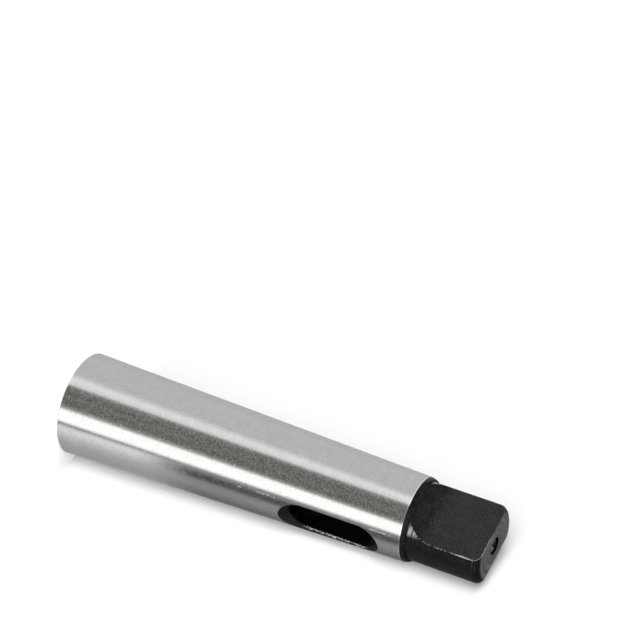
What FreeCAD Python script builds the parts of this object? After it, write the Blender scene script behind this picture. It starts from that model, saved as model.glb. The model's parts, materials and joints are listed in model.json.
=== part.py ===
"""Morse taper sleeve, No. 4 taper outside and No. 3 socket inside, as a parametric document.

Frame, in millimetres: +Z runs along the sleeve's axis from its open end, at z = 0, to the end of its tang.
The origin is the centre of the open end's face. The drift slot runs through along X, and the tang's two
flats face -Y and +Y.
"""
import FreeCAD, Part
import math
import os
import Sketcher

# Driving dimensions: alias in the spreadsheet, value (mm, or degrees for an angle), what it measures.
SIZES = [
    ("gauge_dia", 31.267, "diameter of the outside taper at its gauge plane"),
    ("gauge_offset", 22.5, "height of the gauge plane above the open end"),
    ("outside_taper", 19.254, "length over which the outside taper narrows by 1 mm on diameter"),
    ("cone_length", 115.3, "length of the ground outside taper"),
    ("rim_chamfer", 0.2, "chamfer round the outside of the open end"),
    ("collar_dia", 25.9, "diameter of the unground collar between taper and tang"),
    ("collar_length", 1.5, "length of that collar"),
    ("collar_round", 0.7, "radius round the collar's edge"),
    ("tang_dia", 24.2, "diameter that the tang is milled from"),
    ("tang_length", 23.2, "length from the collar to the end of the tang"),
    ("tang_thickness", 11.9, "distance across the tang's flats"),
    ("tang_end_round", 2.2, "radius round the end of the tang"),
    ("runout_radius", 10.0, "radius that the cutter leaves where each flat runs out"),
    ("runout_gap", 0.1, "distance between the taper and where each run-out leaves the collar"),
    ("socket_gauge_dia", 23.825, "diameter of the socket's taper at the open end"),
    ("socket_taper", 19.922, "length over which the socket narrows by 1 mm on diameter"),
    ("relief_dia", 20.2, "diameter of the plain bore behind the socket's taper"),
    ("socket_depth", 84.0, "depth of the round socket, without the drill's point"),
    ("drill_point_angle", 118.0, "angle of the cone that the drill leaves at the bottom"),
    ("mouth_chamfer", 0.8, "chamfer round the mouth of the socket"),
    ("slot_start", 77.9, "height of the drift slot's lower end"),
    ("slot_length", 28.7, "length of the drift slot"),
    ("slot_width", 10.8, "width of the drift slot"),
    ("slot_mouth_depth", 2.1, "depth of the chamfer cut round each mouth of the slot"),
    ("slot_mouth_angle", 45.0, "slope of that chamfer against the slot's wall"),
    ("centre_pilot_dia", 2.5, "pilot diameter of the centre hole in the tang's end"),
    ("centre_pilot_length", 5.2, "depth of that pilot"),
    ("centre_mouth_dia", 5.6, "diameter of the centre hole's countersink"),
    ("centre_mouth_angle", 60.0, "angle of that countersink"),
]

NODE = "taper_sleeve"
TOTAL_LENGTH = "(sizes.cone_length + sizes.collar_length + sizes.tang_length)"
CUT_OVERRUN = 5.0
SMALL = 1e-4
# The numbers by which a sketch names its own two axes, and the three points of a line or arc.
H_AXIS, V_AXIS = range(-1, -3, -1)
START, END, CENTRE = range(1, 4)


def outside_radius(height):
    """Expression for the radius of the outside taper at a height above the open end."""
    return f"(sizes.gauge_dia + (sizes.gauge_offset - {height}) / sizes.outside_taper) / 2"


def make_sheet(doc):
    """Writes the driving dimensions into a spreadsheet, one row each."""
    sheet = doc.addObject("Spreadsheet::Sheet", "sizes")
    for row, (alias, value, meaning) in enumerate(SIZES, start=1):
        sheet.set(f"A{row}", alias)
        sheet.set(f"B{row}", str(value))
        sheet.set(f"C{row}", meaning)
        sheet.setAlias(f"B{row}", alias)
    doc.recompute()
    return sheet


def origin_feature(body, role):
    """The plane or axis of the body's own origin that has this role."""
    return next(feature for feature in body.Origin.OriginFeatures if feature.Role == role)


def new_sketch(body, name, role):
    """An empty sketch on one of the body's origin planes."""
    sketch = body.newObject("Sketcher::SketchObject", name)
    sketch.AttachmentSupport = [(origin_feature(body, role), "")]
    sketch.MapMode = "FlatFace"
    return sketch


def evaluate(sketch, expression):
    """The number that an expression has now."""
    return float(sketch.evalExpression(expression))


def place_point(sketch, geometry, position, name, across, along):
    """Holds one point of a sketch by two named distances from its origin, each bound to an expression."""
    for kind, suffix, expression in (("DistanceX", "across", across), ("DistanceY", "along", along)):
        value = evaluate(sketch, expression)
        if abs(value) < SMALL:
            axis = V_AXIS if kind == "DistanceX" else H_AXIS
            sketch.addConstraint(Sketcher.Constraint("PointOnObject", geometry, position, axis))
            continue
        index = sketch.addConstraint(Sketcher.Constraint(kind, H_AXIS, START, geometry, position, value))
        sketch.renameConstraint(index, f"{name}_{suffix}")
        sketch.setExpression(f"Constraints.{name}_{suffix}", expression)


def draw_outline(sketch, corners):
    """Draws a closed outline of straight sides through named corners.

    corners: list of (name, distance across, distance along), both distances as expressions.
    """
    points = [
        FreeCAD.Vector(evaluate(sketch, across), evaluate(sketch, along), 0) for _, across, along in corners
    ]
    sides = [
        sketch.addGeometry(Part.LineSegment(start, end), False)
        for start, end in zip(points, points[1:] + points[:1])
    ]
    for side, following in zip(sides, sides[1:] + sides[:1]):
        sketch.addConstraint(Sketcher.Constraint("Coincident", side, END, following, START))
    for side, (name, across, along) in zip(sides, corners):
        place_point(sketch, side, START, name, across, along)


def draw_arc(sketch, centre, radius, start_angle, end_angle):
    """Adds an arc, anticlockwise from its start angle to its end angle, in radians."""
    circle = Part.Circle(centre, FreeCAD.Vector(0, 0, 1), radius)
    return sketch.addGeometry(Part.ArcOfCircle(circle, start_angle, end_angle), False)


def draw_line(sketch, start, end):
    """Adds a straight side from start to end."""
    return sketch.addGeometry(Part.LineSegment(start, end), False)


def bind_radius(sketch, arc, name, expression):
    """Holds an arc's radius by a named dimension bound to an expression."""
    index = sketch.addConstraint(Sketcher.Constraint("Radius", arc, evaluate(sketch, expression)))
    sketch.renameConstraint(index, name)
    sketch.setExpression(f"Constraints.{name}", expression)


def revolve(body, kind, name, sketch):
    """Turns a sketch right round its vertical axis: kind is Revolution or Groove."""
    feature = body.newObject(f"PartDesign::{kind}", name)
    feature.Profile = sketch
    feature.ReferenceAxis = (sketch, ["V_Axis"])
    feature.Angle = 360
    return feature


def dress_edge(body, kind, name, base, size_property, expression, radius, height):
    """Fillets or chamfers the round edge of a feature that has this radius and height."""
    base.Document.recompute()
    names = [
        f"Edge{index}"
        for index, edge in enumerate(base.Shape.Edges, start=1)
        if isinstance(edge.Curve, Part.Circle)
        and abs(edge.Curve.Radius - evaluate(base, radius)) < SMALL
        and abs(edge.Curve.Center.z - evaluate(base, height)) < SMALL
    ]
    if not names:
        raise RuntimeError(f"{name}: the edge to dress is missing")
    feature = body.newObject(f"PartDesign::{kind}", name)
    feature.Base = (base, names)
    feature.setExpression(size_property, expression)
    return feature


def turn_blank(body):
    """The solid blank as turned and ground: taper, collar and round tang, with their edges dressed."""
    sketch = new_sketch(body, "blank_outline", "XZ_Plane")
    collar_start = "sizes.cone_length"
    collar_end = "(sizes.cone_length + sizes.collar_length)"
    draw_outline(
        sketch,
        [
            ("open_centre", "0", "0"),
            ("open_rim", outside_radius("0"), "0"),
            ("cone_end", outside_radius(collar_start), collar_start),
            ("collar_start", "sizes.collar_dia / 2", collar_start),
            ("collar_end", "sizes.collar_dia / 2", collar_end),
            ("tang_start", "sizes.tang_dia / 2", collar_end),
            ("tang_rim", "sizes.tang_dia / 2", TOTAL_LENGTH),
            ("tang_centre", "0", TOTAL_LENGTH),
        ],
    )
    blank = revolve(body, "Revolution", "turned_blank", sketch)
    open_edge = (outside_radius("0"), "0")
    rim = dress_edge(body, "Chamfer", "rim_chamfer", blank, "Size", "sizes.rim_chamfer", *open_edge)
    collar_edge = ("sizes.collar_dia / 2", collar_end)
    collar = dress_edge(body, "Fillet", "collar_round", rim, "Radius", "sizes.collar_round", *collar_edge)
    end_edge = ("sizes.tang_dia / 2", TOTAL_LENGTH)
    return dress_edge(body, "Fillet", "tang_end_round", collar, "Radius", "sizes.tang_end_round", *end_edge)


def bore_socket(body):
    """The socket: a taper, a plain bore behind it and the drill's point, with a chamfered mouth."""
    sketch = new_sketch(body, "socket_outline", "XZ_Plane")
    relief_height = "((sizes.socket_gauge_dia - sizes.relief_dia) * sizes.socket_taper)"
    point_height = "(sizes.relief_dia / 2 / tan(sizes.drill_point_angle / 2 * 1 deg))"
    draw_outline(
        sketch,
        [
            ("mouth_centre", "0", "0"),
            ("mouth_rim", "sizes.socket_gauge_dia / 2", "0"),
            ("taper_end", "sizes.relief_dia / 2", relief_height),
            ("bore_end", "sizes.relief_dia / 2", "sizes.socket_depth"),
            ("drill_point", "0", f"sizes.socket_depth + {point_height}"),
        ],
    )
    socket = revolve(body, "Groove", "socket_bore", sketch)
    mouth_edge = ("sizes.socket_gauge_dia / 2", "0")
    return dress_edge(body, "Chamfer", "mouth_chamfer", socket, "Size", "sizes.mouth_chamfer", *mouth_edge)


def mirror(body, name, original, role):
    """Repeats a cut on the other side of one of the body's origin planes."""
    feature = body.newObject("PartDesign::Mirrored", name)
    feature.Originals = [original]
    feature.MirrorPlane = (origin_feature(body, role), [""])
    body.Tip = feature
    return feature


def mill_flats(body):
    """The tang's two flats, each running out towards the collar in the cutter's radius."""
    sketch = new_sketch(body, "flat_outline", "YZ_Plane")
    radius = "sizes.runout_radius"
    centre_across = f"sizes.tang_thickness / 2 + {radius}"
    rise = f"({centre_across} - sizes.collar_dia / 2)"
    centre_along = f"sizes.cone_length + sizes.runout_gap + sqrt({radius} ^ 2 - {rise} ^ 2)"
    top = f"{TOTAL_LENGTH} + {CUT_OVERRUN}"
    centre = FreeCAD.Vector(evaluate(sketch, centre_across), evaluate(sketch, centre_along), 0)
    reach = evaluate(sketch, radius)
    flat_start = centre - FreeCAD.Vector(reach, 0, 0)
    floor = centre - FreeCAD.Vector(0, reach, 0)
    flat_top = FreeCAD.Vector(flat_start.x, evaluate(sketch, top), 0)
    waste_top = FreeCAD.Vector(centre.x, flat_top.y, 0)
    arc = draw_arc(sketch, centre, reach, math.pi, 1.5 * math.pi)
    flat = draw_line(sketch, flat_start, flat_top)
    over = draw_line(sketch, flat_top, waste_top)
    waste = draw_line(sketch, waste_top, floor)
    sketch.addConstraint(
        [
            Sketcher.Constraint("Tangent", arc, START, flat, START),
            Sketcher.Constraint("Coincident", flat, END, over, START),
            Sketcher.Constraint("Coincident", over, END, waste, START),
            Sketcher.Constraint("Coincident", waste, END, arc, END),
            Sketcher.Constraint("Vertical", flat),
            Sketcher.Constraint("Horizontal", over),
            Sketcher.Constraint("Vertical", waste),
            Sketcher.Constraint("Vertical", arc, END, arc, CENTRE),
        ]
    )
    place_point(sketch, arc, CENTRE, "cutter", centre_across, centre_along)
    bind_radius(sketch, arc, "cutter_radius", radius)
    index = sketch.addConstraint(Sketcher.Constraint("DistanceY", H_AXIS, START, flat, END, flat_top.y))
    sketch.renameConstraint(index, "flat_top")
    sketch.setExpression("Constraints.flat_top", top)
    flat_cut = body.newObject("PartDesign::Pocket", "tang_flat")
    flat_cut.Profile = sketch
    flat_cut.SideType = "Symmetric"
    flat_cut.Type = "Length"
    flat_cut.setExpression("Length", f"sizes.gauge_dia + {CUT_OVERRUN}")
    return mirror(body, "tang_flats", flat_cut, "XZ_Plane")


def draw_slot(sketch):
    """Outline of the drift slot: two straight sides and two round ends."""
    half_width = "sizes.slot_width / 2"
    low_along = f"sizes.slot_start + {half_width}"
    high_along = f"sizes.slot_start + sizes.slot_length - {half_width}"
    reach = evaluate(sketch, half_width)
    low_centre = FreeCAD.Vector(0, evaluate(sketch, low_along), 0)
    high_centre = FreeCAD.Vector(0, evaluate(sketch, high_along), 0)
    across = FreeCAD.Vector(reach, 0, 0)
    low = draw_arc(sketch, low_centre, reach, math.pi, 2 * math.pi)
    high = draw_arc(sketch, high_centre, reach, 0, math.pi)
    right = draw_line(sketch, low_centre + across, high_centre + across)
    left = draw_line(sketch, high_centre - across, low_centre - across)
    sketch.addConstraint(
        [
            Sketcher.Constraint("Tangent", low, END, right, START),
            Sketcher.Constraint("Tangent", right, END, high, START),
            Sketcher.Constraint("Tangent", high, END, left, START),
            Sketcher.Constraint("Tangent", left, END, low, START),
            Sketcher.Constraint("Equal", low, high),
        ]
    )
    place_point(sketch, low, CENTRE, "low_centre", "0", low_along)
    place_point(sketch, high, CENTRE, "high_centre", "0", high_along)
    bind_radius(sketch, low, "end_radius", half_width)


def cut_drift_slot(body):
    """The drift slot, right through along X, and the chamfer round its two mouths in the outside taper."""
    slot_sketch = new_sketch(body, "slot_outline", "YZ_Plane")
    draw_slot(slot_sketch)
    slot = body.newObject("PartDesign::Pocket", "drift_slot")
    slot.Profile = slot_sketch
    slot.SideType = "Symmetric"
    slot.Type = "Length"
    slot.setExpression("Length", f"sizes.gauge_dia + {CUT_OVERRUN}")
    mouth_sketch = new_sketch(body, "mouth_outline", "YZ_Plane")
    middle = "(sizes.slot_start + sizes.slot_length / 2)"
    mouth_sketch.setExpression(
        ".AttachmentOffset.Base.z", f"{outside_radius(middle)} - sizes.slot_mouth_depth"
    )
    draw_slot(mouth_sketch)
    mouth = body.newObject("PartDesign::Pocket", "slot_mouth")
    mouth.Profile = mouth_sketch
    mouth.SideType = "One side"
    mouth.Type = "Length"
    mouth.Reversed = True
    mouth.setExpression("Length", f"sizes.slot_mouth_depth + {CUT_OVERRUN}")
    mouth.setExpression("TaperAngle", "sizes.slot_mouth_angle")
    return mirror(body, "slot_mouths", mouth, "YZ_Plane")


def drill_centre_hole(body):
    """The countersunk centre hole in the tang's end, left from turning the sleeve between centres."""
    sketch = new_sketch(body, "centre_outline", "XY_Plane")
    sketch.setExpression(".AttachmentOffset.Base.z", TOTAL_LENGTH)
    radius = "sizes.centre_pilot_dia / 2"
    circle = Part.Circle(FreeCAD.Vector(0, 0, 0), FreeCAD.Vector(0, 0, 1), evaluate(sketch, radius))
    rim = sketch.addGeometry(circle, False)
    sketch.addConstraint(Sketcher.Constraint("Coincident", rim, CENTRE, H_AXIS, START))
    bind_radius(sketch, rim, "pilot_radius", radius)
    body.Document.recompute()
    hole = body.newObject("PartDesign::Hole", "centre_hole")
    hole.Profile = sketch
    body.Document.recompute()
    hole.ThreadType = "None"
    hole.DepthType = "Dimension"
    hole.DrillPoint = "Angled"
    hole.HoleCutType = "Countersink"
    hole.setExpression("Diameter", "sizes.centre_pilot_dia")
    hole.setExpression("Depth", "sizes.centre_pilot_length")
    hole.setExpression("DrillPointAngle", "sizes.drill_point_angle")
    hole.setExpression("HoleCutDiameter", "sizes.centre_mouth_dia")
    hole.setExpression("HoleCutCountersinkAngle", "sizes.centre_mouth_angle")
    return hole


def check_document(doc, stages):
    """Stops when an object failed, a shape is not one valid solid, or a cut took nothing away."""
    for item in doc.Objects:
        if "Invalid" in item.State or "Error" in item.State:
            raise RuntimeError(f"{item.Name} failed: {item.State}")
    for before, after in zip(stages, stages[1:]):
        shape = after.Shape
        if shape.isNull() or not shape.isValid() or len(shape.Solids) != 1:
            raise RuntimeError(f"{after.Name} is not one valid solid")
        if not shape.Volume < before.Shape.Volume - SMALL:
            raise RuntimeError(f"{after.Name} took nothing away")


def main():
    """Builds the sleeve and writes its solid to parts/."""
    doc = FreeCAD.newDocument("morse_taper_sleeve")
    make_sheet(doc)
    body = doc.addObject("PartDesign::Body", NODE)
    body.Label = NODE
    stages = [step(body) for step in (turn_blank, bore_socket, mill_flats, cut_drift_slot, drill_centre_hole)]
    doc.recompute()
    check_document(doc, stages)
    os.makedirs("parts", exist_ok=True)
    body.Shape.exportStep(f"parts/{NODE}.step")
    box = body.Shape.BoundBox
    extent = f"{box.XLength:.3f} x {box.YLength:.3f} x {box.ZLength:.3f} mm"
    print(f"{NODE}: {body.Shape.Volume:.1f} mm3, {extent}")


main()
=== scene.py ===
"""Looks of a reducing sleeve for taper shanks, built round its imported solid.

The sleeve stands on its open end, at z = 0, with its axis along +Z. The drift slot runs through along X, and
the tang's two flats face -Y and +Y. Lengths are in metres and angles in degrees, unless a name says
otherwise. An azimuth is 0 at -Y and 90 at +X. Inside the finishes lengths are in millimetres.
"""

import json
import logging
import math
from dataclasses import dataclass
from enum import Enum

import bmesh
import bpy
from mathutils import Matrix, Vector


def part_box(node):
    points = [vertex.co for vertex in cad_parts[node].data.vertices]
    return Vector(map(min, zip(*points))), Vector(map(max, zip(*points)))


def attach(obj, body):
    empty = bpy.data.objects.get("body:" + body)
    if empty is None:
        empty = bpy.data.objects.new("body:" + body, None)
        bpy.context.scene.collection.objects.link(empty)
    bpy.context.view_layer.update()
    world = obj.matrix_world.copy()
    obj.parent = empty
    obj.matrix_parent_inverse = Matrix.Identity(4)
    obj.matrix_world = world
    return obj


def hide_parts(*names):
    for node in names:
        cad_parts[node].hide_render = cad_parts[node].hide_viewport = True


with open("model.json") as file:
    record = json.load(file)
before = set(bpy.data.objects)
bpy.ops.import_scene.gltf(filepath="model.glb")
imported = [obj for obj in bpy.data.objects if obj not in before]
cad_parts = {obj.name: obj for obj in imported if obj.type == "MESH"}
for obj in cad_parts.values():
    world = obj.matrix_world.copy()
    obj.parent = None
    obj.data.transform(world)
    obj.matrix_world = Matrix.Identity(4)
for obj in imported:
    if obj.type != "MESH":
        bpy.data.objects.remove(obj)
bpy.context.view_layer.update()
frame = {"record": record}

LOG = logging.getLogger("sleeve")
MM = 0.001
NODE = "taper_sleeve"
PIECE = "reducing_sleeve"
MERGE_DISTANCE = 0.02 * MM
SHARP_ANGLE = 24.0

Rgb = tuple[float, float, float]


class Finish(Enum):
    """The finishes that meet on the sleeve; each value is the index of its material."""

    GROUND_CONE = 0
    GROUND_SOCKET = 1
    BLACK_TURNED = 2
    BLACK_MILLED = 3
    BLACK_SLOT = 4
    BLACK_FACED = 5


@dataclass(frozen=True)
class SleeveSizes:
    """Sizes of the sleeve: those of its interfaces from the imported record, and the small ones beside them."""

    length: float
    gauge_height: float
    gauge_radius: float
    cone_length: float
    socket_radius: float
    socket_length: float
    slot_middle: float
    slot_length: float
    flat_distance: float
    centre_radius: float
    outside_taper: float = 19.254
    socket_taper: float = 19.922
    rim_chamfer: float = 0.2 * MM
    mouth_chamfer: float = 0.8 * MM
    collar_radius: float = 12.95 * MM
    collar_length: float = 1.5 * MM
    collar_round: float = 0.7 * MM
    tang_radius: float = 12.1 * MM
    tang_end_round: float = 2.2 * MM
    runout_radius: float = 10.0 * MM
    runout_gap: float = 0.1 * MM
    socket_depth: float = 84.0 * MM
    drill_half_angle: float = 59.0
    slot_width: float = 10.8 * MM
    slot_mouth_depth: float = 2.1 * MM
    slot_mouth_angle: float = 45.0
    pilot_radius: float = 1.25 * MM
    pilot_depth: float = 5.2 * MM
    centre_half_angle: float = 30.0

    @classmethod
    def from_frame(cls, record: dict, node: str) -> "SleeveSizes":
        """Reads the interfaces' sizes.

        Args:
            record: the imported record.
            node: name of the sleeve's node.

        Returns:
            The sizes, in metres.
        """
        mounts = {mount["name"]: mount for mount in record["mounts"]}
        shank, socket = mounts["taper_shank"], mounts["taper_socket"]
        slot, centre = mounts["drift_slot"], mounts["centre_hole"]
        return cls(
            length=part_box(node)[1].z,
            gauge_height=shank["pos_m"][2],
            gauge_radius=shank["dims"]["r_mm"] * MM,
            cone_length=shank["dims"]["length_mm"] * MM,
            socket_radius=socket["dims"]["r_mm"] * MM,
            socket_length=socket["dims"]["length_mm"] * MM,
            slot_middle=slot["pos_m"][2],
            slot_length=slot["dims"]["slot_length_mm"] * MM,
            flat_distance=mounts["tang_flat_back"]["pos_m"][1],
            centre_radius=centre["dims"]["r_mm"] * MM,
        )

    def cone_radius(self, height: float) -> float:
        """Radius of the outside taper at a height."""
        return self.gauge_radius + (self.gauge_height - height) / self.outside_taper / 2

    @property
    def flat_start(self) -> float:
        """Height at which each run-out has become the flat."""
        rise = self.flat_distance + self.runout_radius - self.collar_radius
        return self.cone_length + self.runout_gap + math.sqrt(self.runout_radius**2 - rise**2)

    @property
    def flare_start(self) -> float:
        """Distance from the axis at which the slot begins to flare towards its mouths."""
        return self.cone_radius(self.slot_middle) - self.slot_mouth_depth

    @property
    def collar_end(self) -> float:
        """Height at which the collar ends and the tang begins."""
        return self.cone_length + self.collar_length

    @property
    def relief_radius(self) -> float:
        """Radius of the plain bore behind the socket's taper."""
        return self.socket_radius - self.socket_length / self.socket_taper / 2


def arc_points(
    centre: tuple[float, float], radius: float, start: float, end: float, steps: int
) -> list[tuple[float, float]]:
    """Points along an arc.

    Args:
        centre: the arc's centre, across and along.
        radius: its radius.
        start: angle of its first point.
        end: angle of its last point.
        steps: number of equal steps between them.

    Returns:
        The points, first and last included.
    """
    angles = [math.radians(start + (end - start) * step / steps) for step in range(steps + 1)]
    return [(centre[0] + radius * math.cos(a), centre[1] + radius * math.sin(a)) for a in angles]


def mesh_from(bm: bmesh.types.BMesh, name: str) -> bpy.types.Object:
    """Turns a bmesh into a linked object at the origin, and frees it.

    Args:
        bm: the bmesh.
        name: name of the mesh and of the object.

    Returns:
        The object.
    """
    mesh = bpy.data.meshes.new(name)
    bm.to_mesh(mesh)
    bm.free()
    piece = bpy.data.objects.new(name, mesh)
    bpy.context.scene.collection.objects.link(piece)
    return piece


@dataclass(frozen=True)
class Sleeve:
    """The sleeve as one piece: turned blank, bored socket, milled flats and drift slot."""

    sizes: SleeveSizes
    materials: dict[Finish, bpy.types.Material]
    # How far the cutters reach past the surface that they cut through.
    overrun: float = 6.0 * MM
    row_height: float = 2.0 * MM
    # This many steps round the axis put a column of vertices on each straight edge of the tang's flats.
    round_steps: int = 330
    runout_steps: int = 26
    end_round_steps: int = 10
    collar_round_steps: int = 5
    slot_end_steps: int = 64

    def outline(self) -> list[tuple[float, float]]:
        """The turned outline from the tang's end on the axis, round the outside, to the socket's bottom.

        Returns:
            The radius and the height of each corner, with round edges as arcs.
        """
        s = self.sizes
        centre_slope = math.tan(math.radians(s.centre_half_angle))
        pilot_top = s.length - (s.centre_radius - s.pilot_radius) / centre_slope
        pilot_bottom = s.length - s.pilot_depth
        drill_slope = math.tan(math.radians(s.drill_half_angle))
        end_centre = (s.tang_radius - s.tang_end_round, s.length - s.tang_end_round)
        collar_centre = (s.collar_radius - s.collar_round, s.collar_end - s.collar_round)
        points = [
            (0.0, pilot_bottom - s.pilot_radius / drill_slope),
            (s.pilot_radius, pilot_bottom),
            (s.pilot_radius, pilot_top),
            (s.centre_radius, s.length),
        ]
        points += arc_points(end_centre, s.tang_end_round, 90, 0, self.end_round_steps)
        points += [(s.tang_radius, s.collar_end)]
        points += arc_points(collar_centre, s.collar_round, 90, 0, self.collar_round_steps)
        points += [
            (s.collar_radius, s.cone_length),
            (s.cone_radius(s.cone_length), s.cone_length),
            (s.cone_radius(s.rim_chamfer), s.rim_chamfer),
            (s.cone_radius(0) - s.rim_chamfer, 0.0),
            (s.socket_radius + s.mouth_chamfer, 0.0),
            (s.socket_radius - s.mouth_chamfer / s.socket_taper / 2, s.mouth_chamfer),
            (s.relief_radius, s.socket_length),
            (s.relief_radius, s.socket_depth),
            (0.0, s.socket_depth + s.relief_radius / drill_slope),
        ]
        return points

    def turn_blank(self) -> bpy.types.Object:
        """Spins the outline into the closed blank, with its socket and its centre hole.

        Returns:
            The blank, with the finish of each face set.
        """
        bm = bmesh.new()
        corners = [bm.verts.new((radius, 0.0, height)) for radius, height in self.outline()]
        for first, second in zip(corners, corners[1:]):
            bm.edges.new((first, second))
        for row in range(1, round(self.sizes.length / self.row_height)):
            bmesh.ops.bisect_plane(
                bm,
                geom=bm.verts[:] + bm.edges[:],
                dist=MERGE_DISTANCE,
                plane_co=(0, 0, row * self.row_height),
                plane_no=(0, 0, 1),
            )
        bmesh.ops.spin(
            bm,
            geom=bm.verts[:] + bm.edges[:],
            cent=(0, 0, 0),
            axis=(0, 0, 1),
            dvec=(0, 0, 0),
            angle=math.tau,
            steps=self.round_steps,
            use_merge=True,
            use_normal_flip=False,
            use_duplicate=False,
        )
        bmesh.ops.remove_doubles(bm, verts=bm.verts, dist=MERGE_DISTANCE)
        bmesh.ops.recalc_face_normals(bm, faces=bm.faces)
        for face in bm.faces:
            face.material_index = self.finish_at(face.calc_center_median()).value
        return mesh_from(bm, PIECE)

    def finish_at(self, point: Vector) -> Finish:
        """The finish that the turned blank has at a point of its surface.

        Args:
            point: the point.

        Returns:
            The finish there.
        """
        s = self.sizes
        radius = point.xy.length
        if point.z > s.length - MERGE_DISTANCE:
            return Finish.BLACK_FACED
        if point.z > s.cone_length:
            return Finish.BLACK_TURNED
        if radius > s.cone_radius(point.z) - s.rim_chamfer:
            return Finish.GROUND_CONE
        return Finish.GROUND_SOCKET if point.z < s.socket_length else Finish.BLACK_TURNED

    def flat_cutter(self, side: int) -> bpy.types.Object:
        """The space that one flat is milled from, with the cutter's radius where the flat runs out.

        Args:
            side: -1 for the flat that faces -Y, 1 for the one that faces +Y.

        Returns:
            The closed cutter.
        """
        s = self.sizes
        centre = (s.flat_distance + s.runout_radius, s.flat_start)
        path = arc_points(centre, s.runout_radius, 180, 270, self.runout_steps)
        top = s.length + self.overrun
        outer = centre[0] + self.overrun
        path = [(s.flat_distance, top), *path, (outer, path[-1][1]), (outer, top)]
        bm = bmesh.new()
        reach = s.gauge_radius + self.overrun
        corners = [bm.verts.new((-reach, side * across, along)) for across, along in path]
        face = bm.faces.new(corners)
        pushed = bmesh.ops.extrude_face_region(bm, geom=[face])
        moved = [part for part in pushed["geom"] if isinstance(part, bmesh.types.BMVert)]
        bmesh.ops.translate(bm, verts=moved, vec=(2 * reach, 0, 0))
        bmesh.ops.recalc_face_normals(bm, faces=bm.faces)
        return mesh_from(bm, f"flat_cutter_{side}")

    def slot_cutter(self) -> bpy.types.Object:
        """The drift slot's space: straight through along X, and flaring at both mouths.

        Returns:
            The closed cutter.
        """
        s = self.sizes
        flare_start = s.flare_start
        flare = s.slot_mouth_depth + self.overrun
        spread = flare * math.tan(math.radians(s.slot_mouth_angle))
        half_width = s.slot_width / 2
        half_straight = s.slot_length / 2 - half_width
        bm = bmesh.new()
        to_yz = Matrix.Rotation(math.radians(90), 4, "Y")
        ring = bmesh.ops.create_circle(
            bm, cap_ends=True, segments=2 * self.slot_end_steps, radius=half_width + spread, matrix=to_yz
        )["verts"]
        bmesh.ops.rotate(bm, verts=ring, matrix=Matrix.Rotation(math.pi / 2 / self.slot_end_steps, 3, "X"))
        for vertex in ring:
            vertex.co.z += s.slot_middle + math.copysign(half_straight, vertex.co.z)
        bmesh.ops.translate(bm, verts=ring, vec=(-flare_start - flare, 0, 0))
        end = bm.faces[:]
        for length, growth in ((flare, -spread), (2 * flare_start, 0.0), (flare, spread)):
            pushed = bmesh.ops.extrude_face_region(bm, geom=end)["geom"]
            if len(bm.faces) > 2 * len(ring):
                bmesh.ops.delete(bm, geom=end, context="FACES_ONLY")
            end = [part for part in pushed if isinstance(part, bmesh.types.BMFace)]
            for vertex in end[0].verts:
                centre = s.slot_middle + math.copysign(half_straight, vertex.co.z - s.slot_middle)
                outward = Vector((0, vertex.co.y, vertex.co.z - centre)).normalized()
                vertex.co += outward * growth + Vector((length, 0, 0))
        bmesh.ops.recalc_face_normals(bm, faces=bm.faces)
        return mesh_from(bm, "slot_cutter")

    def cut(self, piece: bpy.types.Object, cutter: bpy.types.Object, finish: Finish) -> None:
        """Takes a cutter's space away from the piece.

        Args:
            piece: the piece to cut.
            cutter: a closed mesh, which is deleted afterwards.
            finish: the finish of the new faces.
        """
        for kind in Finish:
            cutter.data.materials.append(self.materials[kind])
        for face in cutter.data.polygons:
            face.material_index = finish.value
        boolean = piece.modifiers.new("cut", "BOOLEAN")
        boolean.operation = "DIFFERENCE"
        boolean.solver = "EXACT"
        boolean.object = cutter
        graph = bpy.context.evaluated_depsgraph_get()
        cut_mesh = bpy.data.meshes.new_from_object(piece.evaluated_get(graph))
        piece.modifiers.clear()
        uncut_mesh = piece.data
        piece.data = cut_mesh
        bpy.data.meshes.remove(uncut_mesh)
        bpy.data.objects.remove(cutter)

    def build(self) -> bpy.types.Object:
        """Builds the whole sleeve.

        Returns:
            The finished piece, riding on the sleeve's body in place of its solid.
        """
        piece = self.turn_blank()
        for finish in Finish:
            piece.data.materials.append(self.materials[finish])
        for side in (-1, 1):
            self.cut(piece, self.flat_cutter(side), Finish.BLACK_MILLED)
        self.cut(piece, self.slot_cutter(), Finish.BLACK_SLOT)
        self.finish_mesh(piece)
        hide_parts(NODE)
        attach(piece, "root")
        return piece

    def finish_mesh(self, piece: bpy.types.Object) -> None:
        """Cleans the cut mesh, and shades it smooth up to its sharp edges and its changes of finish.

        Args:
            piece: the piece, after its last cut.
        """
        bm = bmesh.new()
        bm.from_mesh(piece.data)
        bmesh.ops.remove_doubles(bm, verts=bm.verts, dist=MERGE_DISTANCE)
        for face in bm.faces:
            face.smooth = True
        for edge in bm.edges:
            faces = edge.link_faces
            two_finishes = len({face.material_index for face in faces}) > 1
            edge.smooth = not two_finishes and edge.calc_face_angle(math.pi) < math.radians(SHARP_ANGLE)
        LOG.info("open edges: %d", sum(not edge.is_manifold for edge in bm.edges))
        bm.to_mesh(piece.data)
        bm.free()


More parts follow.
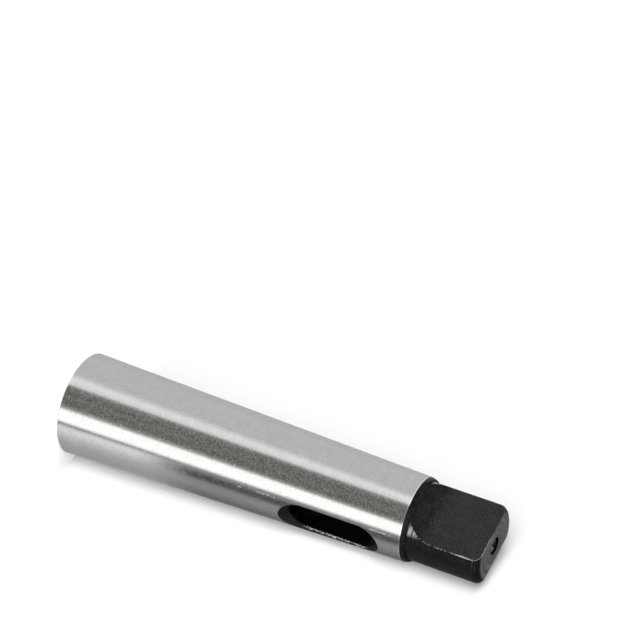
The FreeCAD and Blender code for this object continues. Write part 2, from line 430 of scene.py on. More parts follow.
@dataclass(frozen=True)
class Field:
    """A number that varies over a surface: the output of a node, on which arithmetic can be done."""

    tree: bpy.types.NodeTree
    socket: bpy.types.NodeSocket

    def maths(self, operation: str, *others: "Field | float") -> "Field":
        """A Math node with this number as its first input.

        Args:
            operation: the node's operation.
            others: its other inputs, fields or plain numbers.

        Returns:
            The node's result.
        """
        node = self.tree.nodes.new("ShaderNodeMath")
        node.operation = operation
        self.tree.links.new(self.socket, node.inputs[0])
        for index, other in enumerate(others, start=1):
            if isinstance(other, Field):
                self.tree.links.new(other.socket, node.inputs[index])
            else:
                node.inputs[index].default_value = other
        return Field(self.tree, node.outputs[0])

    def __add__(self, other: "Field | float") -> "Field":
        """The sum."""
        return self.maths("ADD", other)

    def __sub__(self, other: "Field | float") -> "Field":
        """The difference."""
        return self.maths("SUBTRACT", other)

    def __mul__(self, other: "Field | float") -> "Field":
        """The product."""
        return self.maths("MULTIPLY", other)

    def __truediv__(self, other: "Field | float") -> "Field":
        """The quotient."""
        return self.maths("DIVIDE", other)

    def __abs__(self) -> "Field":
        """The size without its sign."""
        return self.maths("ABSOLUTE")

    def greatest(self, other: "Field | float") -> "Field":
        """The greater of the two."""
        return self.maths("MAXIMUM", other)

    def least(self, other: "Field | float") -> "Field":
        """The lesser of the two."""
        return self.maths("MINIMUM", other)

    def hypot(self, other: "Field") -> "Field":
        """The length of the right triangle's long side."""
        return (self * self + other * other).maths("SQRT")

    def ramp(self, start: float, end: float, low: float = 0.0, high: float = 1.0) -> "Field":
        """Goes smoothly from one value to another, and stays there beyond.

        Args:
            start: where the change begins.
            end: where it ends.
            low: the result at the start and before it.
            high: the result at the end and past it.

        Returns:
            The result.
        """
        node = self.tree.nodes.new("ShaderNodeMapRange")
        node.interpolation_type = "SMOOTHSTEP"
        self.tree.links.new(self.socket, node.inputs["Value"])
        for name, value in (("From Min", start), ("From Max", end), ("To Min", low), ("To Max", high)):
            node.inputs[name].default_value = value
        return Field(self.tree, node.outputs["Result"])


class Surface:
    """A material's node tree: its Object coordinates, its patterns and its shader."""

    def __init__(self, name: str) -> None:
        """Makes the material, with a Principled shader and coordinates in millimetres.

        Args:
            name: the material's name.
        """
        self.material = bpy.data.materials.new(name)
        self.material.use_nodes = True
        self.tree = self.material.node_tree
        self.shader = self.tree.nodes["Principled BSDF"]
        coordinates = self.tree.nodes.new("ShaderNodeTexCoord")
        split = self.tree.nodes.new("ShaderNodeSeparateXYZ")
        self.tree.links.new(coordinates.outputs["Object"], split.inputs[0])
        self.x, self.y, self.z = (Field(self.tree, socket) / MM for socket in split.outputs)
        self.radius = self.x.hypot(self.y)
        self.azimuth = self.x.maths("ARCTAN2", self.y * -1) * math.degrees(1)
        self.here = self.place(self.x, self.y, self.z)
        self.turned = self.place(self.x * 0.05, self.y * 0.05, self.z)

    def place(self, x: Field, y: Field, z: Field) -> bpy.types.NodeSocket:
        """Joins three fields to a place, at which a pattern can be read.

        Args:
            x: the field along X.
            y: the field along Y.
            z: the field along Z.

        Returns:
            The place.
        """
        node = self.tree.nodes.new("ShaderNodeCombineXYZ")
        for field, socket in zip((x, y, z), node.inputs):
            self.tree.links.new(field.socket, socket)
        return node.outputs[0]

    def noise(self, place: bpy.types.NodeSocket, scale: float, detail: float = 2.0) -> Field:
        """Cloudy noise from 0 to 1, about 0.5 on average.

        Args:
            place: where the noise is read; turned makes it fine lines round the axis.
            scale: how many waves there are to the unit of place.
            detail: how many times finer noise is added.

        Returns:
            The noise.
        """
        node = self.tree.nodes.new("ShaderNodeTexNoise")
        node.inputs["Scale"].default_value = scale
        node.inputs["Detail"].default_value = detail
        self.tree.links.new(place, node.inputs["Vector"])
        return Field(self.tree, node.outputs["Fac"])

    def cells(self, place: bpy.types.NodeSocket, scale: float) -> tuple[Field, Field]:
        """Scattered cells.

        Args:
            place: where the cells are read.
            scale: how many cells there are to the unit of place.

        Returns:
            The distance from each cell's middle, and one random number for each cell.
        """
        node = self.tree.nodes.new("ShaderNodeTexVoronoi")
        node.inputs["Scale"].default_value = scale
        self.tree.links.new(place, node.inputs["Vector"])
        split = self.tree.nodes.new("ShaderNodeSeparateColor")
        self.tree.links.new(node.outputs["Color"], split.inputs[0])
        return Field(self.tree, node.outputs["Distance"]), Field(self.tree, split.outputs[0])

    def dots(self, place: bpy.types.NodeSocket, scale: float, size: float, rarity: float) -> Field:
        """Sparse dots: 1 in the middle of a few scattered cells, 0 elsewhere.

        Args:
            place: where the pattern is read.
            scale: how many cells there are to the unit of place.
            size: radius of a dot, in cells.
            rarity: share of the cells that stay without one.

        Returns:
            The pattern.
        """
        distance, chance = self.cells(place, scale)
        return distance.ramp(size * 0.4, size, 1.0, 0.0).least(chance.ramp(rarity, rarity + 0.01))

    def blend(self, share: Field, low: Field | Rgb, high: Field | Rgb) -> Field:
        """A colour that goes from one colour to another.

        Args:
            share: how much of the second there is, from 0 to 1.
            low: the first, as a colour or a field.
            high: the second.

        Returns:
            The colour.
        """
        node = self.tree.nodes.new("ShaderNodeMix")
        node.data_type = "RGBA"
        self.tree.links.new(share.socket, node.inputs["Factor"])
        sockets = [socket for socket in node.inputs if socket.type == "RGBA"]
        for socket, colour in zip(sockets, (low, high)):
            if isinstance(colour, Field):
                self.tree.links.new(colour.socket, socket)
            else:
                socket.default_value = (*colour, 1.0)
        return Field(self.tree, next(out for out in node.outputs if out.type == "RGBA"))

    def feed(self, name: str, value: Field | float) -> None:
        """Sets an input of the shader.

        Args:
            name: the input's name.
            value: a field or a plain number.
        """
        if isinstance(value, Field):
            self.tree.links.new(value.socket, self.shader.inputs[name])
        else:
            self.shader.inputs[name].default_value = value

    def bump(self, height: Field, depth: float) -> None:
        """Lets a field from 0 to 1 raise the surface.

        Args:
            height: the field.
            depth: how far 1 stands above 0, in metres.
        """
        node = self.tree.nodes.new("ShaderNodeBump")
        node.inputs["Strength"].default_value = 1.0
        node.inputs["Distance"].default_value = depth
        self.tree.links.new(height.socket, node.inputs["Height"])
        self.tree.links.new(node.outputs["Normal"], self.shader.inputs["Normal"])


@dataclass(frozen=True)
class GroundSteel:
    """Hardened steel ground round the axis: fine lines, faint clouding, a few nicks and short scratches."""

    name: str
    colour: Rgb = (0.628, 0.630, 0.622)
    shade: Rgb = (0.575, 0.578, 0.560)
    # Colour of the painted highlight on the rims: white where the edge catches the light.
    glint: Rgb = (1.0, 1.0, 1.0)
    roughness: float = 0.12
    nicks: float = 1.0
    # Azimuth, and lower and upper end in millimetres, of the scratches that run along the cone.
    long_scratches: tuple[tuple[float, float, float], ...] = ()
    # Heights in millimetres of the rims with a painted highlight, white where the edge catches the light.
    glint_rims: tuple[float, ...] = ()
    # Middle of the strip along the cone that has had most of the knocks.
    struck_azimuth: float = 41.5
    bump_depth: float = 0.1 * MM

    def tone(self, steel: Surface, lines: Field, grain: Field) -> Field:
        """Two close greys, mixed by lines, clouds and grain, with a painted highlight in white at the rims.

        Args:
            steel: the surface.
            lines: the fine lines round the axis.
            grain: the fine grain.

        Returns:
            The colour.
        """
        clouds = steel.noise(steel.here, scale=0.3, detail=3.0)
        share = (lines * 0.3 + clouds * 0.25 + grain * 0.45).ramp(0.38, 0.58)
        colour = steel.blend(share, self.shade, self.colour)
        # Painted highlight: each rim's colour goes to white.
        for rim in self.glint_rims:
            edge = abs(steel.z - rim).ramp(0.15, 0.35, low=1.0, high=0.0)
            colour = steel.blend(edge, colour, self.glint)
        return colour

    def haze(self, steel: Surface, slanted: bpy.types.NodeSocket, grain: Field) -> Field:
        """How much the surface scatters light instead of mirroring it.

        Args:
            steel: the surface.
            slanted: the place at which short slanted scratches are read.
            grain: the fine grain, which breaks up the long scratches.

        Returns:
            The share that scatters, most of it in the scratches.
        """
        haze = steel.noise(steel.here, scale=2.1).ramp(0.42, 0.64) * 0.14
        up_only = steel.place(steel.x * 0.0, steel.y * 0.0, steel.z)
        wander = steel.noise(up_only, scale=0.18)
        struck = abs(steel.azimuth - self.struck_azimuth).ramp(2.0, 4.0, low=1.0, high=0.0)
        struck = struck * wander.ramp(0.46, 0.56)
        knocks = steel.dots(slanted, scale=0.8, size=0.27, rarity=0.6)
        haze = haze.greatest(knocks * struck * self.nicks)
        for azimuth, low, high in self.long_scratches:
            across = abs(steel.azimuth - azimuth - (wander - 0.5) * 3).ramp(0.5, 1.2, low=1.0, high=0.0)
            length = high - low
            from_middle = abs(steel.z - (low + high) / 2)
            span = from_middle.ramp(length * 0.4, length * 0.5, low=1.0, high=0.0)
            haze = haze.greatest(across * span * grain.ramp(0.46, 0.54) * 0.8)
        return haze

    def make(self) -> bpy.types.Material:
        """Makes the material.

        Returns:
            The material.
        """
        steel = Surface(self.name)
        lines = steel.noise(steel.turned, scale=4.0, detail=4.0)
        grain = steel.noise(steel.here, scale=1.3, detail=4.0)
        satin = steel.noise(steel.here, scale=3.4).ramp(0.44, 0.62)
        slanted = steel.place(steel.x * 0.5, steel.y * 0.5, steel.z * 2.1 + steel.x * 0.5)
        pits = steel.dots(steel.here, scale=0.55, size=0.10, rarity=0.86)
        scratches = steel.dots(slanted, scale=0.45, size=0.13, rarity=0.62)
        sparkles = steel.dots(steel.here, scale=1.5, size=0.2, rarity=0.72)
        sunk = (pits.greatest(scratches) * 0.25 + sparkles * 0.05) * self.nicks
        steel.feed("Base Color", self.tone(steel, lines, grain))
        steel.feed("Roughness", lines * 0.03 + satin * 0.13 + (self.roughness - 0.06))
        steel.feed("Metallic", self.haze(steel, slanted, grain) * -1 + 1)
        steel.bump(grain * 0.03 + lines * 0.012 - sunk, self.bump_depth)
        return steel.material


@dataclass(frozen=True)
class BlackOxide:
    """Blackened steel with speckles and cutter marks, worn bright where it rubs, and with painted glints and
    painted shade.
    """

    name: str
    sizes: SleeveSizes
    finish: Finish
    colour: Rgb = (0.0025, 0.0028, 0.0028)
    cloud: Rgb = (0.0180, 0.0188, 0.0186)
    bare: Rgb = (0.60, 0.60, 0.58)
    # Painted shade: the oxide is darker still inside the centre hole.
    centre_hole_shade: Rgb = (0.0005, 0.0005, 0.0005)
    # Painted shade: the slot's walls, away from the lower part of its mouths, are near black.
    slot_shade_colour: Rgb = (0.0008, 0.0008, 0.0008)
    roughness: float = 0.38
    specular: float = 0.33
    bump_depth: float = 0.03 * MM
    # Widths of the worn edge in millimetres: everywhere, and what it gains towards the tang's end.
    edge_width: float = 0.05
    corner_width: float = 0.20
    # Azimuth, on either side of -Y, of the middle of the painted glint on the tang's root: bare metal placed
    # where the turned lines catch the light.
    shine_azimuth: float = 48.5
    # Radius in millimetres of a bare ring in the centre hole's countersink, a painted glint where its cone
    # catches the light, and the depths at which the ring has ended and is in full.
    centre_ring: float = 2.15
    centre_depth: tuple[float, float] = (3.4, 2.4)
    # Heights in millimetres between which the slot's mouths turn from the full coat to a dark one: painted
    # shade on the upper part of the mouths.
    mouth_shade_heights: tuple[float, float] = (78.0, 82.0)

    def end_rings(self, steel: Surface, ragged: Field) -> Field:
        """Share of bare metal in the turned rings on the tang's end round.

        Args:
            steel: the surface.
            ragged: noise round 0 that breaks up the rings.

        Returns:
            The share.
        """
        bottom = (self.sizes.length - self.sizes.tang_end_round) / MM
        turned = steel.noise(steel.turned, scale=2.6).ramp(0.50, 0.62)
        rings = turned * ragged.ramp(-0.12, 0.12) * 0.12
        return rings * steel.z.ramp(bottom - 0.6, bottom) * steel.radius.ramp(11.0, 11.6)

    def edge_wear(self, steel: Surface) -> Field:
        """Share of bare metal along the edges that the flats leave on the tang's round side and end.

        Args:
            steel: the surface.

        Returns:
            The share.
        """
        s = self.sizes
        top = s.length / MM
        radius = s.runout_radius / MM
        end_round = s.tang_end_round / MM
        root = s.collar_end / MM
        drop = (steel.z * -1 + s.flat_start / MM).greatest(0.0).least(radius)
        flat = (drop * drop * -1 + radius * radius).maths("SQRT") * -1 + (s.flat_distance / MM + radius)
        rise = (steel.z - (top - end_round)).greatest(0.0).least(end_round)
        bulge = (rise * rise * -1 + end_round * end_round).maths("SQRT")
        side = bulge + (s.tang_radius / MM - end_round)
        from_side = (side - steel.radius).greatest(0.0)
        from_end = (steel.z * -1 + top).greatest(0.0)
        distance = (flat - abs(steel.y)).hypot(from_side.least(from_end))
        ragged = steel.noise(steel.here, scale=3.0, detail=5.0) - 0.5
        along = steel.noise(steel.place(steel.x * 0.3, steel.y * 0.3, steel.z), scale=0.4) - 0.5
        corner = steel.z.ramp(top - 12.0, top - 2.0) * self.corner_width
        width = ragged * 0.9 + along * 0.6 + corner + self.edge_width
        bare_share = (width - distance).ramp(0.0, 0.10) * steel.z.ramp(root + 1.0, root + 3.0) * 0.9
        struck_side = (steel.x * steel.y).ramp(-30.0, 5.0, low=1.0, high=0.05)
        return bare_share.greatest(self.end_rings(steel, ragged)) * struck_side

    def slot_burr(self, steel: Surface) -> Field:
        """Share of bare metal on the ragged burr where the slot's walls meet its flared mouths.

        Args:
            steel: the surface.

        Returns:
            The share.
        """
        s = self.sizes
        half = s.slot_length / MM / 2
        ragged = steel.noise(steel.here, scale=2.2, detail=5.0)
        distance = abs(abs(steel.x) - (s.flare_start / MM + 0.16))
        burr = (distance * -1 + (ragged - 0.5) * 2.6 + 0.08).ramp(0.0, 0.12)
        from_middle = abs(steel.z - (s.slot_middle / MM + 0.5))
        span = from_middle.ramp(half - 6.5, half - 3.0, low=1.0, high=0.0)
        return burr * span * (steel.x * steel.y).ramp(10.0, 30.0)

    def shank_shine(self, steel: Surface) -> Field:
        """Share of bare metal in the turned lines on the tang's root, beside the collar: a painted glint,
        placed on both sides of -Y where the turned lines catch the light.

        Args:
            steel: the surface.

        Returns:
            The share.
        """
        rise = steel.z - self.sizes.collar_end / MM
        turned = steel.noise(steel.turned, scale=3.0, detail=3.0)
        zone = rise.ramp(-0.1, 0.2) * rise.ramp(2.4, 4.2, low=1.0, high=0.0)
        # Painted glint: bare metal on both sides of -Y at the azimuth where the turned lines catch the light.
        glint = abs(abs(steel.azimuth) - self.shine_azimuth).ramp(3.5, 11.5, low=1.0, high=0.0)
        return zone * glint * turned.ramp(0.40, 0.60, low=0.1, high=0.8)

    def centre_shine(self, steel: Surface) -> Field:
        """Share of bare metal in a ring in the centre hole's countersink: a painted glint where its cone
        catches the light.

        Args:
            steel: the surface.

        Returns:
            The share.
        """
        # Painted glint: a ring of bare metal in the countersink.
        ring = abs(steel.radius - self.centre_ring).ramp(0.10, 0.30, low=1.0, high=0.0)
        deep, shallow = (self.sizes.length / MM - depth for depth in self.centre_depth)
        ragged = steel.noise(steel.here, scale=1.5, detail=3.0)
        return ring * steel.z.ramp(deep, shallow) * ragged.ramp(0.47, 0.55) * 0.8

    def wear_and_glints(self, steel: Surface) -> Field:
        """Share of bare metal: speckles, the kinds of wear that this finish has, and on turned oxide the
        painted glints on the tang's root and in the centre hole.

        Args:
            steel: the surface.

        Returns:
            The share.
        """
        bare_share = steel.dots(steel.here, scale=1.0, size=0.11, rarity=0.95) * 0.7
        if self.finish is Finish.BLACK_SLOT:
            return bare_share.greatest(self.slot_burr(steel))
        bare_share = bare_share.greatest(self.edge_wear(steel))
        if self.finish is Finish.BLACK_TURNED:
            # Painted glints on the tang's root and in the centre hole, as bare metal.
            bare_share = bare_share.greatest(self.shank_shine(steel)).greatest(self.centre_shine(steel))
        return bare_share

    def coat(self, steel: Surface, share: Field) -> Field:
        """Colour of the oxide, with painted shade inside the centre hole, and for the slot painted shade inside
        it and on the upper part of its mouths.

        Args:
            steel: the surface.
            share: how much of the cloud's colour there is.

        Returns:
            The colour.
        """
        hole = self.sizes.centre_radius / MM
        oxide = steel.blend(share, self.colour, self.cloud)
        # Painted shade inside the centre hole.
        coat = steel.blend(steel.radius.ramp(hole, hole + 0.2), self.centre_hole_shade, oxide)
        if self.finish is not Finish.BLACK_SLOT:
            return coat
        # Painted light and shade in the slot: its walls and the upper part of its mouths are near black, the
        # lower part of the mouths keeps the coat.
        mouth = (abs(steel.x) - self.sizes.flare_start / MM).ramp(-0.6, 0.3)
        mouth_lit = steel.z.ramp(*self.mouth_shade_heights, low=0.9, high=0.1)
        return steel.blend(mouth * mouth_lit, self.slot_shade_colour, coat)

    def make(self) -> bpy.types.Material:
        """Makes the material.

        Returns:
            The material.
        """
        steel = Surface(self.name)
        clouds = steel.noise(steel.here, scale=0.4, detail=4.0)
        grain = steel.noise(steel.here, scale=2.2, detail=4.0)
        height = grain * 0.6 + clouds * 0.4
        share = (clouds * 0.25 + grain * 0.75).ramp(0.38, 0.62)
        if self.finish is Finish.BLACK_FACED:
            rings = steel.noise(steel.place(steel.radius, steel.x * 0.03, steel.y * 0.03), scale=1.3)
            height = height * 0.5 + rings
            share = (rings * 0.6 + grain * 0.4).ramp(0.42, 0.58)
        # Bare metal from wear, and on turned oxide also the painted glints.
        bare_share = self.wear_and_glints(steel)
        steel.feed("Base Color", steel.blend(bare_share, self.coat(steel, share), self.bare))
        steel.feed("Metallic", bare_share)
        steel.feed("Specular IOR Level", self.specular)
        steel.feed("Roughness", grain * 0.16 + (self.roughness - 0.08))
        steel.bump(height, self.bump_depth)
        return steel.material


@dataclass(frozen=True)
class StudioCamera:
    """The camera: where it aims, from which side, how it is rolled, and its lens."""

    aim: Vector = Vector((-38.525 * MM, -27.258 * MM, 66.589 * MM))
    azimuth: float = 33.70
    elevation: float = 20.903
    roll: float = -107.968
    distance: float = 836.53 * MM
    lens_mm: float = 155.9
    sensor_mm: float = 36.0
    nearest: float = 0.01
    farthest: float = 50.0

    def make(self) -> None:
        """Makes the camera and hands it to the scene."""
        data = bpy.data.cameras.new("camera")
        data.lens = self.lens_mm
        data.sensor_width = self.sensor_mm
        data.clip_start = self.nearest
        data.clip_end = self.farthest
        camera = bpy.data.objects.new("camera", data)
        bpy.context.scene.collection.objects.link(camera)
        turn = Matrix.Rotation(math.radians(self.azimuth), 4, "Z")
        tilt = Matrix.Rotation(math.radians(90 - self.elevation), 4, "X")
        roll = Matrix.Rotation(math.radians(-self.roll), 4, "Z")
        back = Matrix.Translation((0, 0, self.distance))
        camera.matrix_world = Matrix.Translation(self.aim) @ turn @ tilt @ roll @ back
        bpy.context.scene.camera = camera


def level_ramp(share: Field, levels: list[tuple[float, float]]) -> Field:
    """Brightness that follows a list of corners.

    Args:
        share: where the list is read, from 0 to 1.
        levels: place and brightness of each corner, at most 32 of them, which is what the node holds.

    Returns:
        The brightness.
    """
    node = share.tree.nodes.new("ShaderNodeValToRGB")
    share.tree.links.new(share.socket, node.inputs[0])
    brightest = max(level for _, level in levels)
    elements = node.color_ramp.elements
    elements.remove(elements[1])
    for index, (place, level) in enumerate(levels):
        stop = elements[0] if index == 0 else elements.new(place)
        stop.position = place
        stop.color = (level / brightest,) * 3 + (1.0,)
    return Field(share.tree, node.outputs["Color"]) * brightest


def mix_shaders(
    tree: bpy.types.NodeTree,
    share: bpy.types.NodeSocket,
    first: bpy.types.Node,
    second: bpy.types.Node,
    out: bpy.types.Node,
) -> None:
    """Sends a mix of two shaders to a tree's output.

    Args:
        tree: the node tree.
        share: share of the second shader, from 0 to 1.
        first: the first shader.
        second: the second shader.
        out: the tree's output.
    """
    mix = tree.nodes.new("ShaderNodeMixShader")
    for source, target in zip((share, first.outputs[0], second.outputs[0]), mix.inputs):
        tree.links.new(source, target)
    tree.links.new(mix.outputs[0], out.inputs["Surface"])


def direction(azimuth: float, elevation: float = 0.0) -> Vector:
    """The unit vector towards an azimuth, which is 0 at -Y and 90 at +X, and an elevation."""
    a, e = math.radians(azimuth), math.radians(elevation)
    return Vector((math.sin(a) * math.cos(e), -math.cos(a) * math.cos(e), math.sin(e)))


@dataclass(frozen=True)
class BandStudio:
    """What the bright metal mirrors: upright bands of light and dark all round the sleeve."""

    # Azimuth and brightness of each corner of the band profile, once round from the back.
    bands: tuple[tuple[float, float], ...] = (
        (-180, 0.17),
        (-158, 0.21),
        (-142, 0.48),
        (-118, 0.60),
        (-86, 0.715),
        (-26, 0.705),
        (-18, 0.94),
        (-13, 1.16),
        (-6, 1.13),
        (1, 1.02),
        (4, 0.45),
        (8, 0.21),
        (20, 0.145),
        (30, 0.19),
        (42, 0.14),
        (48, 0.18),
        (53, 0.37),
        (56.5, 0.85),
        (59, 1.65),
        (81, 1.75),
        (84.5, 1.45),
        (86.5, 0.75),
        (90, 0.30),
        (96, 0.255),
        (102, 0.09),
        (112, 0.09),
        (122, 0.32),
        (134, 0.37),
        (150, 0.30),
        (166, 0.22),
        (180, 0.17),
    )
    # Azimuth and amount of blue of each corner: the dark bands in front are a little warm.
    blues: tuple[tuple[float, float], ...] = (
        (-180, 1.0),
        (4, 1.0),
        (16, 0.95),
        (26, 0.92),
        (50, 0.90),
        (58, 1.0),
        (180, 1.0),
    )
    # Between these elevations the bands fade to this share of their brightness.
    fade_start: float = 5.0
    fade_end: float = 20.0
    fade_share: float = 0.12

    def make(self) -> None:
        """Makes the world: the bands for reflections, plain white for the camera."""
        world = bpy.data.worlds.new("studio")
        bpy.context.scene.world = world
        world.use_nodes = True
        tree = world.node_tree
        tree.nodes.clear()
        coordinates = tree.nodes.new("ShaderNodeTexCoord")
        split = tree.nodes.new("ShaderNodeSeparateXYZ")
        tree.links.new(coordinates.outputs["Generated"], split.inputs[0])
        across, along, up = (Field(tree, socket) for socket in split.outputs)
        share = across.maths("ARCTAN2", along * -1) / math.tau + 0.5
        start, end = (math.sin(math.radians(angle)) for angle in (self.fade_start, self.fade_end))
        fade = up.ramp(start, end, low=1.0, high=self.fade_share)
        level, blue = (
            level_ramp(share, [(azimuth / 360 + 0.5, value) for azimuth, value in corners])
            for corners in (self.bands, self.blues)
        )
        tint = tree.nodes.new("ShaderNodeCombineColor")
        tint.inputs["Red"].default_value = 1.0
        tint.inputs["Green"].default_value = 1.0
        tree.links.new(blue.socket, tint.inputs["Blue"])
        bands = tree.nodes.new("ShaderNodeBackground")
        tree.links.new(tint.outputs["Color"], bands.inputs["Color"])
        tree.links.new((level * fade).socket, bands.inputs["Strength"])
        white = tree.nodes.new("ShaderNodeBackground")
        white.inputs["Color"].default_value = (1, 1, 1, 1)
        path = tree.nodes.new("ShaderNodeLightPath")
        out = tree.nodes.new("ShaderNodeOutputWorld")
        mix_shaders(tree, path.outputs["Is Camera Ray"], bands, white, out)
        world.cycles_visibility.diffuse = False


@dataclass(frozen=True)
class ReflectorCard:
    """A low curved card that the sleeve's open end mirrors; nothing else sees it."""

    radius: float = 38.0 * MM
    start: float = 79.0
    end: float = 215.0
    bottom: float = -14.0 * MM
    full_below: float = 15.5 * MM
    clear_above: float = 39.5 * MM
    steps: int = 80
    # Azimuth and brightness of each corner along the card.
    levels: tuple[tuple[float, float], ...] = (
        (79, 0.50),
        (81, 0.68),
        (83.5, 1.00),
        (85.5, 1.08),
        (88.7, 1.08),
        (92, 1.02),
        (95.3, 0.95),
        (100.4, 0.83),
        (108.8, 0.68),
        (117.4, 0.585),
        (126, 0.535),
        (135, 0.497),
        (144, 0.465),
        (153, 0.435),
        (163, 0.42),
        (172, 0.43),
        (180, 0.46),
        (215, 0.50),
    )

    def make(self) -> None:
        """Makes the card and its material."""
        heights = (self.bottom, self.clear_above)
        bm = bmesh.new()
        rows = []
        for step in range(self.steps + 1):
            foot = direction(self.start + (self.end - self.start) * step / self.steps) * self.radius
            rows.append([bm.verts.new((foot.x, foot.y, height)) for height in heights])
        for first, second in zip(rows, rows[1:]):
            bm.faces.new((first[0], second[0], second[1], first[1]))
        card = mesh_from(bm, "reflector_card")
        card.data.materials.append(self.material())
        card.visible_camera = False
        card.visible_diffuse = False
        card.visible_shadow = False

    def material(self) -> bpy.types.Material:
        """Light that varies round the card and fades out towards its top.

        Returns:
            The material.
        """
        card = Surface("reflector_card")
        tree = card.tree
        tree.nodes.remove(card.shader)
        share = (card.x * -1).maths("ARCTAN2", card.y) / math.tau + 0.5
        level = level_ramp(share, [(azimuth / 360, level) for azimuth, level in self.levels])
        glow = tree.nodes.new("ShaderNodeEmission")
        tree.links.new(level.socket, glow.inputs["Strength"])
        clear = tree.nodes.new("ShaderNodeBsdfTransparent")
        cover = card.z.ramp(self.full_below / MM, self.clear_above / MM, low=1.0, high=0.0)
        out = next(node for node in tree.nodes if node.type == "OUTPUT_MATERIAL")
        mix_shaders(tree, cover.socket, clear, glow, out)
        return card.material


@dataclass(frozen=True)
class SoftLamp:
    """A wide, distant lamp whose light falls evenly from one side, and which the metal doesn't mirror."""

    name: str
    azimuth: float
    elevation: float
    level: float
    width: float

    def make(self, receivers: tuple[bpy.types.Object, ...]) -> None:
        """Makes the lamp.

        Args:
            receivers: the only objects that it lights.
        """
        data = bpy.data.lights.new(self.name, "SUN")
        data.energy = self.level * math.pi
        data.angle = math.radians(self.width)
        lamp = bpy.data.objects.new(self.name, data)
        lamp.rotation_mode = "QUATERNION"
        lamp.rotation_quaternion = direction(self.azimuth, self.elevation).to_track_quat("Z", "Y")
        lamp.visible_glossy = False
        bpy.context.scene.collection.objects.link(lamp)
        group = bpy.data.collections.new(f"lit_by_{self.name}")
        for receiver in receivers:
            group.objects.link(receiver)
        lamp.light_linking.receiver_collection = group


@dataclass(frozen=True)
class Stage:
    """The pale floor that the sleeve stands on, and the pale sheet that its side touches."""

    sizes: SleeveSizes
    reach: float = 20.0
    contact_azimuth: float = 163.4
    gap: float = 0.1 * MM
    # Colour of the matt paper, and the brightness that only the camera sees on it.
    floor_paper: tuple[float, float] = (0.60, 0.46)
    sheet_paper: tuple[float, float] = (0.85, 0.12)

    def pale(self, name: str, colour: float, lift: float) -> bpy.types.Material:
        """Matt white that the camera sees as pure white, apart from shadows, and that is clear from behind.

        Args:
            name: the material's name.
            colour: brightness of the matt paper.
            lift: brightness added for the camera alone.

        Returns:
            The material.
        """
        material = bpy.data.materials.new(name)
        material.use_nodes = True
        tree = material.node_tree
        tree.nodes.clear()
        paper = tree.nodes.new("ShaderNodeBsdfDiffuse")
        paper.inputs["Color"].default_value = (colour, colour, colour, 1)
        glow = tree.nodes.new("ShaderNodeEmission")
        path = tree.nodes.new("ShaderNodeLightPath")
        tree.links.new((Field(tree, path.outputs["Is Camera Ray"]) * lift).socket, glow.inputs["Strength"])
        front = tree.nodes.new("ShaderNodeAddShader")
        tree.links.new(paper.outputs[0], front.inputs[0])
        tree.links.new(glow.outputs[0], front.inputs[1])
        clear = tree.nodes.new("ShaderNodeBsdfTransparent")
        geometry = tree.nodes.new("ShaderNodeNewGeometry")
        out = tree.nodes.new("ShaderNodeOutputMaterial")
        mix_shaders(tree, geometry.outputs["Backfacing"], front, clear, out)
        return material

    def plane(self, name: str, matrix: Matrix, material: bpy.types.Material) -> bpy.types.Object:
        """A large flat sheet that only the camera sees.

        Args:
            name: the sheet's name.
            matrix: its place; its face is along the matrix's Z axis.
            material: its material.

        Returns:
            The sheet.
        """
        bm = bmesh.new()
        bmesh.ops.create_grid(bm, x_segments=1, y_segments=1, size=self.reach, matrix=matrix)
        sheet = mesh_from(bm, name)
        sheet.data.materials.append(material)
        sheet.visible_glossy = False
        sheet.visible_diffuse = False
        sheet.visible_shadow = False
        return sheet

    def make(self) -> tuple[bpy.types.Object, bpy.types.Object]:
        """Makes the floor and the sheet.

        Returns:
            The floor, and the sheet beside the sleeve.
        """
        floor = self.plane("floor", Matrix.Identity(4), self.pale("pale_floor", *self.floor_paper))
        half_angle = math.atan(1 / self.sizes.outside_taper / 2)
        outward = direction(self.contact_azimuth)
        rim = outward * (self.sizes.cone_radius(0) + self.gap)
        slope = -(outward * math.cos(half_angle) + Vector((0, 0, math.sin(half_angle))))
        lean = slope.to_track_quat("Z", "Y").to_matrix().to_4x4()
        matrix = Matrix.Translation(rim) @ lean
        sheet = self.plane("side_sheet", matrix, self.pale("pale_sheet", *self.sheet_paper))
        return floor, sheet


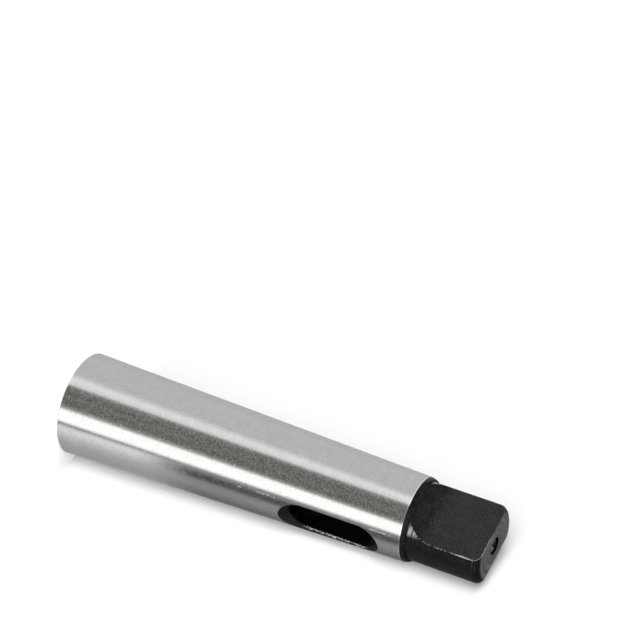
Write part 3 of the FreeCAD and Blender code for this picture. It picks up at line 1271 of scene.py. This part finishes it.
def finishes(sizes: SleeveSizes) -> dict[Finish, bpy.types.Material]:
    """Makes the material of every finish.

    Args:
        sizes: the sleeve's sizes, which say where its edges are.

    Returns:
        The materials.
    """
    makers = {
        Finish.GROUND_CONE: GroundSteel(
            "ground_cone",
            long_scratches=(
                (63.5, 104.5, 113.5),
                (64.0, 67.5, 75.0),
                (65.0, 61.8, 63.4),
                (71.0, 43.0, 44.6),
            ),
            # Painted highlights on the open end's rim and on the cone's end.
            glint_rims=(0.0, sizes.cone_length / MM),
        ),
        Finish.GROUND_SOCKET: GroundSteel("ground_socket", roughness=0.25, nicks=0.3),
        Finish.BLACK_TURNED: BlackOxide("black_turned", sizes, Finish.BLACK_TURNED, specular=0.16),
        Finish.BLACK_MILLED: BlackOxide("black_milled", sizes, Finish.BLACK_MILLED),
        Finish.BLACK_SLOT: BlackOxide(
            "black_slot",
            sizes,
            Finish.BLACK_SLOT,
            # Lighter than the other oxide; it shows only where the lower part of the mouths keeps its coat, as
            # painted light.
            colour=(0.012, 0.012, 0.012),
            cloud=(0.026, 0.026, 0.026),
            specular=0.25,
        ),
        Finish.BLACK_FACED: BlackOxide(
            "black_faced",
            sizes,
            Finish.BLACK_FACED,
            # Far lighter than the other oxide: painted light on the tang's end face; the turned rings on it are
            # its own.
            colour=(0.060, 0.062, 0.062),
            cloud=(0.175, 0.178, 0.177),
        ),
    }
    return {finish: maker.make() for finish, maker in makers.items()}


def main() -> None:
    """Builds the sleeve, its stage, its light and its camera."""
    logging.basicConfig(level=logging.INFO, format="%(message)s")
    sizes = SleeveSizes.from_frame(frame["record"], NODE)
    piece = Sleeve(sizes, finishes(sizes)).build()
    LOG.info("%s: %d faces", piece.name, len(piece.data.polygons))
    StudioCamera().make()
    BandStudio().make()
    ReflectorCard().make()
    floor, sheet = Stage(sizes).make()
    for number, azimuth in enumerate((1.0, 16.0, 31.0)):
        lamp = SoftLamp(f"side_lamp_{number}", azimuth, elevation=9.0, level=0.44, width=32.0)
        lamp.make((piece, sheet))
    SoftLamp("top_lamp", azimuth=0.0, elevation=90.0, level=0.5, width=60.0).make((piece,))
    SoftLamp("floor_lamp", azimuth=5.0, elevation=58.0, level=1.15, width=44.0).make((floor,))
    bpy.context.scene.view_settings.view_transform = "Standard"


if __name__ == "__main__":
    main()
